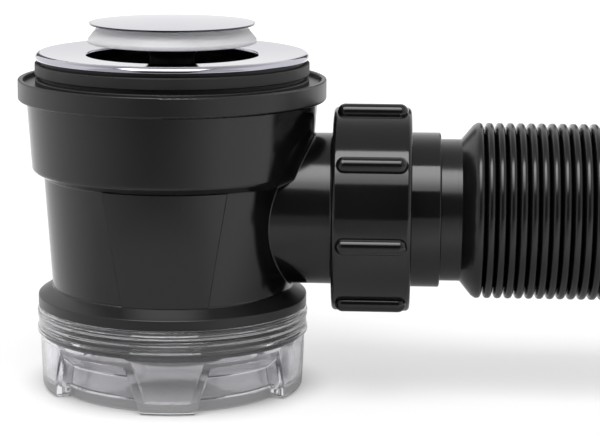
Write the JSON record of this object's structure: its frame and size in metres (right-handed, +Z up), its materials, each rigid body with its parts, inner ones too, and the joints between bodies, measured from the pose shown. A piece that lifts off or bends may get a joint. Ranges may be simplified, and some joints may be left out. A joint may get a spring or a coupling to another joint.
{
  "type": "basin trap",
  "caption": "Plastic basin trap with a chrome push-down waste on top, a clear screw-on bowl below and a side outlet with a ribbed union nut and corrugated hose.",
  "frame": {"origin": "middle of the bowl's foot, on the surface it stands on", "axes": "+Z up along the waste axis, +X along the outlet towards the hose"},
  "size_m": [0.237, 0.0956, 0.1151],
  "materials": {
    "black_plastic": "semi-gloss moulded black",
    "hose_plastic": "satin moulded black",
    "black_rubber": "matt black",
    "clear_plastic": "clear, polished",
    "silicone": "translucent",
    "chrome": "polished",
    "steel": "plain"
  },
  "bodies": {
    "trap": {"trap_body": "black_plastic", "waste_flange": "chrome", "upper_gasket": "black_rubber", "lower_gasket": "black_rubber", "waste_neck": "black_plastic", "dip_tube": "black_plastic", "dip_tube_seal": "black_rubber", "click_housing": "black_plastic", "click_nut": "black_plastic", "click_spring": "steel", "union_seal": "black_rubber"},
    "plug": {"plug_cap": "chrome", "plug_seal": "silicone", "plug_stem": "black_plastic", "click_plunger": "steel", "latch_rotor": "black_plastic"},
    "bowl_seal": {"bowl_seal": "black_rubber"},
    "bowl": {"clear_bowl": "clear_plastic"},
    "union_ring": {"union_ring": "black_plastic"},
    "nut": {"union_nut": "black_plastic"},
    "tail": {"hose_tail": "black_plastic", "drain_hose": "hose_plastic"}
  },
  "joints": [
    {"name": "plug_push", "type": "slide", "parent": "trap", "child": "plug", "axis": [0, 0, 1], "range_m": [-0.008, 0], "stiffness_N_per_m": 300, "springref_m": 0.008, "deforming": ["click_spring"]},
    {"name": "bowl_drop", "type": "slide", "parent": "trap", "child": "bowl_seal", "axis": [0, 0, -1], "range_m": [0, 0.0084]},
    {"name": "bowl_turn", "type": "hinge", "parent": "bowl_seal", "child": "bowl", "pos_m": [0, 0, 0], "axis": [0, 0, -1], "range_deg": [0, 1440]},
    {"name": "nut_back", "type": "slide", "parent": "trap", "child": "union_ring", "axis": [1, 0, 0], "range_m": [0, 0.0092]},
    {"name": "nut_turn", "type": "hinge", "parent": "union_ring", "child": "nut", "pos_m": [0.0624, 0, 0.0569], "axis": [1, 0, 0], "range_deg": [0, 1440]},
    {"name": "hose_swivel", "type": "hinge", "parent": "trap", "child": "tail", "pos_m": [0.076, 0, 0.0569], "axis": [1, 0, 0], "continuous": true}
  ],
  "couplings": [
    {"joint": "bowl_drop", "follows": "bowl_turn", "m_per_rad": 0.000334},
    {"joint": "nut_back", "follows": "nut_turn", "m_per_rad": 0.000366}
  ]
}
